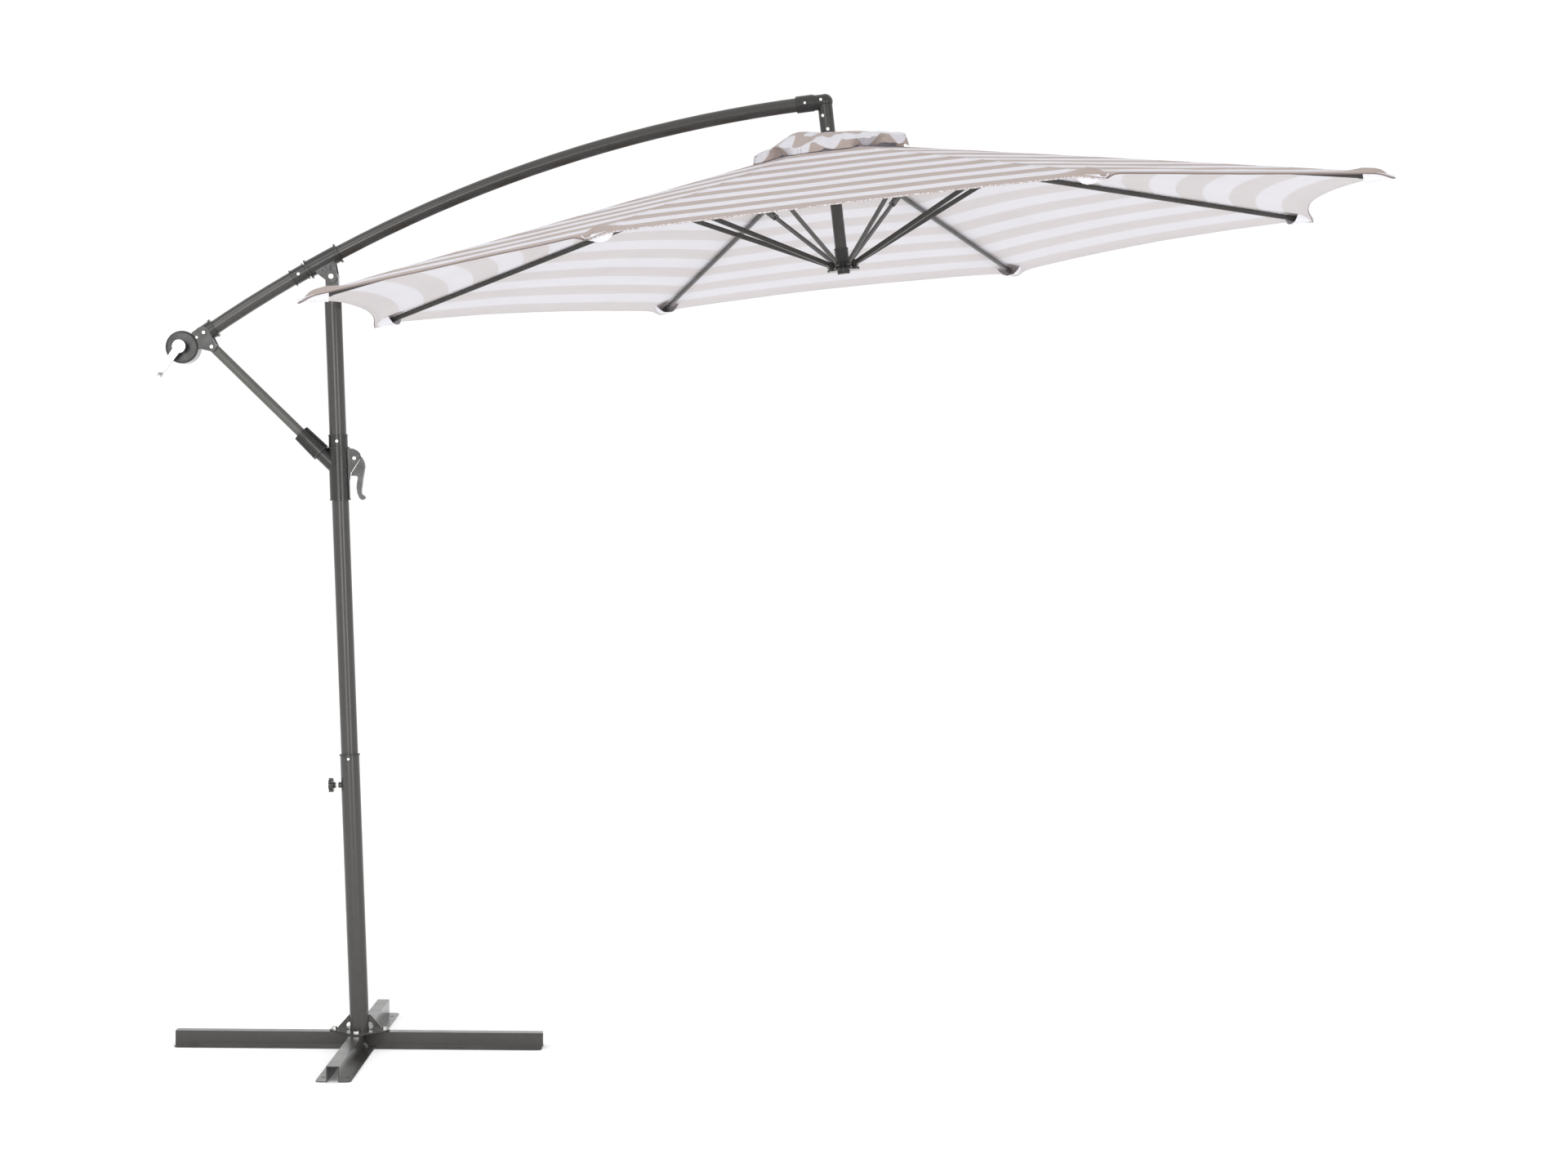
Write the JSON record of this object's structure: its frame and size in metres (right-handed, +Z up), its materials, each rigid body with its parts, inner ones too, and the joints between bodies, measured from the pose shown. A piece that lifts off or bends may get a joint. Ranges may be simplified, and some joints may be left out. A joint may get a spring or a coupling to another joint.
{
  "type": "cantilever parasol",
  "caption": "Cantilever parasol: cross base, two-part turning mast, arm in a pivoting sleeve, crank, brace carriage and a striped canopy that folds.",
  "frame": {"origin": "centre of the cross base on the ground, which is the centre of the anchor hole pattern", "axes": "+X from the mast towards the canopy, +Y to the far side away from the crank, +Z up"},
  "size_m": [3.2326, 2.7912, 2.6064],
  "materials": {
    "frame_steel": "dark warm grey powder coat, satin",
    "dark_plastic": "anthracite moulded nylon, matte",
    "zinc": "bright zinc plated fasteners",
    "chrome": "polished chrome plate",
    "canopy_fabric": "woven polyester, white and beige stripes"
  },
  "bodies": {
    "base": {"base_long": "frame_steel", "base_left": "frame_steel", "base_right": "frame_steel", "base_plate": "frame_steel", "base_fasteners": "zinc", "lower_tube": "frame_steel", "lower_bush": "dark_plastic"},
    "clamp_knob": {"clamp_knob": "dark_plastic", "clamp_screw": "zinc"},
    "upper_mast": {"upper_mast": "frame_steel", "mast_foot": "dark_plastic", "mast_head": "dark_plastic", "sleeve_pin": "zinc"},
    "carriage": {"carriage": "dark_plastic", "brace_boot": "dark_plastic", "carriage_pins": "zinc"},
    "brake_lever": {"brake_lever": "dark_plastic"},
    "sleeve": {"arm_sleeve": "dark_plastic"},
    "arm": {"arm_tube": "frame_steel", "stop_ring": "dark_plastic", "arm_fasteners": "zinc", "elbow": "dark_plastic", "crank_bracket": "dark_plastic", "crank_case": "chrome", "crank_cover": "dark_plastic", "pole_fitting": "dark_plastic", "pole_bolt": "zinc", "pole": "frame_steel", "crown": "dark_plastic", "crown_pins": "zinc", "vent_cap": "canopy_fabric"},
    "crank": {"crank_shaft": "zinc", "crank_handle": "chrome"},
    "brace": {"brace_tube": "frame_steel"},
    "hub": {"hub": "dark_plastic"},
    "rib_1": {"rib_1": "frame_steel", "canopy_1": "canopy_fabric"},
    "strut_1": {"strut_1": "frame_steel"},
    "rib_2": {"rib_2": "frame_steel", "canopy_2": "canopy_fabric"},
    "strut_2": {"strut_2": "frame_steel"},
    "rib_3": {"rib_3": "frame_steel", "canopy_3": "canopy_fabric"},
    "strut_3": {"strut_3": "frame_steel"},
    "rib_4": {"rib_4": "frame_steel", "canopy_4": "canopy_fabric"},
    "strut_4": {"strut_4": "frame_steel"},
    "rib_5": {"rib_5": "frame_steel", "canopy_5": "canopy_fabric"},
    "strut_5": {"strut_5": "frame_steel"},
    "rib_6": {"rib_6": "frame_steel", "canopy_6": "canopy_fabric"},
    "strut_6": {"strut_6": "frame_steel"},
    "rib_7": {"rib_7": "frame_steel", "canopy_7": "canopy_fabric"},
    "strut_7": {"strut_7": "frame_steel"},
    "rib_8": {"rib_8": "frame_steel", "canopy_8": "canopy_fabric"},
    "strut_8": {"strut_8": "frame_steel"}
  },
  "joints": [
    {"name": "mast_turn", "type": "hinge", "parent": "base", "child": "upper_mast", "pos_m": [-0.01675, 0, 0.44565], "axis": [-0.0419, 0, 0.9991], "continuous": true},
    {"name": "knob_turn", "type": "hinge", "parent": "base", "child": "clamp_knob", "pos_m": [-0.07506, 0, 0.71444], "axis": [-0.9991, 0, -0.0419], "range_deg": [0, 720]},
    {"name": "arm_raise", "type": "hinge", "parent": "upper_mast", "child": "sleeve", "pos_m": [-0.08597, 0, 2.0972], "axis": [0, -1, 0], "range_deg": [0, 12]},
    {"name": "arm_slide", "type": "hinge", "parent": "sleeve", "child": "arm", "pos_m": [1.71589, 0, -1.12685], "axis": [0, -1, 0], "range_deg": [0, 0.92096]},
    {"name": "brace_swing", "type": "hinge", "parent": "arm", "child": "brace", "pos_m": [-0.40749, 0, 1.9037], "axis": [0, -1, 0], "range_deg": [-12.93, 0]},
    {"name": "carriage_slide", "type": "slide", "parent": "upper_mast", "child": "carriage", "axis": [0.0419, 0, -0.9991], "range_m": [0, 0.10585]},
    {"name": "lever_swing", "type": "hinge", "parent": "carriage", "child": "brake_lever", "pos_m": [-0.022, 0, 1.606], "axis": [0, -1, 0], "range_deg": [0, 28]},
    {"name": "canopy_fold", "type": "hinge", "parent": "arm", "child": "rib_1", "pos_m": [1.30397, 0.01649, 2.45754], "axis": [-0.3638, 0.9304, -0.0447], "range_deg": [0, 68], "deforming": ["canopy_1", "vent_cap"]},
    {"name": "rib_2_fold", "type": "hinge", "parent": "arm", "child": "rib_2", "pos_m": [1.28022, 0.04127, 2.45463], "axis": [-0.9102, 0.3987, -0.1118], "range_deg": [0, 68.03], "deforming": ["canopy_2"]},
    {"name": "rib_3_fold", "type": "hinge", "parent": "arm", "child": "rib_3", "pos_m": [1.24604, 0.04187, 2.45043], "axis": [-0.9235, -0.3665, -0.1134], "range_deg": [0, 68.03], "deforming": ["canopy_3"]},
    {"name": "rib_4_fold", "type": "hinge", "parent": "arm", "child": "rib_4", "pos_m": [1.22145, 0.01794, 2.44741], "axis": [-0.3958, -0.9171, -0.0486], "range_deg": [0, 68.03], "deforming": ["canopy_4"]},
    {"name": "rib_5_fold", "type": "hinge", "parent": "arm", "child": "rib_5", "pos_m": [1.22085, -0.01649, 2.44733], "axis": [0.3638, -0.9304, 0.0447], "range_deg": [0, 68.03], "deforming": ["canopy_5"]},
    {"name": "rib_6_fold", "type": "hinge", "parent": "arm", "child": "rib_6", "pos_m": [1.2446, -0.04127, 2.45025], "axis": [0.9102, -0.3987, 0.1118], "range_deg": [0, 68.03], "deforming": ["canopy_6"]},
    {"name": "rib_7_fold", "type": "hinge", "parent": "arm", "child": "rib_7", "pos_m": [1.27878, -0.04187, 2.45445], "axis": [0.9235, 0.3665, 0.1134], "range_deg": [0, 68.03], "deforming": ["canopy_7"]},
    {"name": "rib_8_fold", "type": "hinge", "parent": "arm", "child": "rib_8", "pos_m": [1.30337, -0.01794, 2.45747], "axis": [0.3958, 0.9171, 0.0486], "range_deg": [0, 68.03], "deforming": ["canopy_8"]},
    {"name": "strut_1_swing", "type": "hinge", "parent": "rib_1", "child": "strut_1", "pos_m": [1.7353, 0.1831, 2.41526], "axis": [-0.3638, 0.9304, -0.0447], "range_deg": [-122.8, 0]},
    {"name": "strut_2_swing", "type": "hinge", "parent": "rib_2", "child": "strut_2", "pos_m": [1.47166, 0.45816, 2.38289], "axis": [-0.9102, 0.3987, -0.1118], "range_deg": [-122.8, 0]},
    {"name": "strut_3_swing", "type": "hinge", "parent": "rib_3", "child": "strut_3", "pos_m": [1.09219, 0.46484, 2.3363], "axis": [-0.9235, -0.3665, -0.1134], "range_deg": [-122.8, 0]},
    {"name": "strut_4_swing", "type": "hinge", "parent": "rib_4", "child": "strut_4", "pos_m": [0.81918, 0.19922, 2.30278], "axis": [-0.3958, -0.9171, -0.0486], "range_deg": [-122.8, 0]},
    {"name": "strut_5_swing", "type": "hinge", "parent": "rib_5", "child": "strut_5", "pos_m": [0.81256, -0.1831, 2.30196], "axis": [0.3638, -0.9304, 0.0447], "range_deg": [-122.8, 0]},
    {"name": "strut_6_swing", "type": "hinge", "parent": "rib_6", "child": "strut_6", "pos_m": [1.0762, -0.45816, 2.33433], "axis": [0.9102, -0.3987, 0.1118], "range_deg": [-122.8, 0]},
    {"name": "strut_7_swing", "type": "hinge", "parent": "rib_7", "child": "strut_7", "pos_m": [1.45567, -0.46484, 2.38093], "axis": [0.9235, 0.3665, 0.1134], "range_deg": [-122.8, 0]},
    {"name": "strut_8_swing", "type": "hinge", "parent": "rib_8", "child": "strut_8", "pos_m": [1.72868, -0.19922, 2.41445], "axis": [0.3958, 0.9171, 0.0486], "range_deg": [-122.8, 0]},
    {"name": "hub_swing", "type": "hinge", "parent": "strut_1", "child": "hub", "pos_m": [1.33246, 0.01283, 2.14914], "axis": [-0.3638, 0.9304, -0.0447], "range_deg": [0, 54.76]},
    {"name": "crank_turn", "type": "hinge", "parent": "arm", "child": "crank", "pos_m": [-0.488, 0, 1.902], "axis": [0, -1, 0], "range_deg": [0, 1865.44]}
  ],
  "couplings": [
    {"joint": "arm_slide", "follows": "arm_raise", "ratio": 0.07667},
    {"joint": "brace_swing", "follows": "arm_raise", "ratio": -1.0767},
    {"joint": "carriage_slide", "follows": "arm_raise", "m_per_rad": 0.5049},
    {"joint": "rib_2_fold", "follows": "canopy_fold", "ratio": 1},
    {"joint": "rib_3_fold", "follows": "canopy_fold", "ratio": 1},
    {"joint": "rib_4_fold", "follows": "canopy_fold", "ratio": 1},
    {"joint": "rib_5_fold", "follows": "canopy_fold", "ratio": 1},
    {"joint": "rib_6_fold", "follows": "canopy_fold", "ratio": 1},
    {"joint": "rib_7_fold", "follows": "canopy_fold", "ratio": 1},
    {"joint": "rib_8_fold", "follows": "canopy_fold", "ratio": 1},
    {"joint": "strut_1_swing", "follows": "canopy_fold", "ratio": -1.8049},
    {"joint": "strut_2_swing", "follows": "canopy_fold", "ratio": -1.8049},
    {"joint": "strut_3_swing", "follows": "canopy_fold", "ratio": -1.8049},
    {"joint": "strut_4_swing", "follows": "canopy_fold", "ratio": -1.8049},
    {"joint": "strut_5_swing", "follows": "canopy_fold", "ratio": -1.8049},
    {"joint": "strut_6_swing", "follows": "canopy_fold", "ratio": -1.8049},
    {"joint": "strut_7_swing", "follows": "canopy_fold", "ratio": -1.8049},
    {"joint": "strut_8_swing", "follows": "canopy_fold", "ratio": -1.8049},
    {"joint": "hub_swing", "follows": "canopy_fold", "ratio": 0.80494},
    {"joint": "crank_turn", "follows": "canopy_fold", "ratio": 27.419}
  ]
}
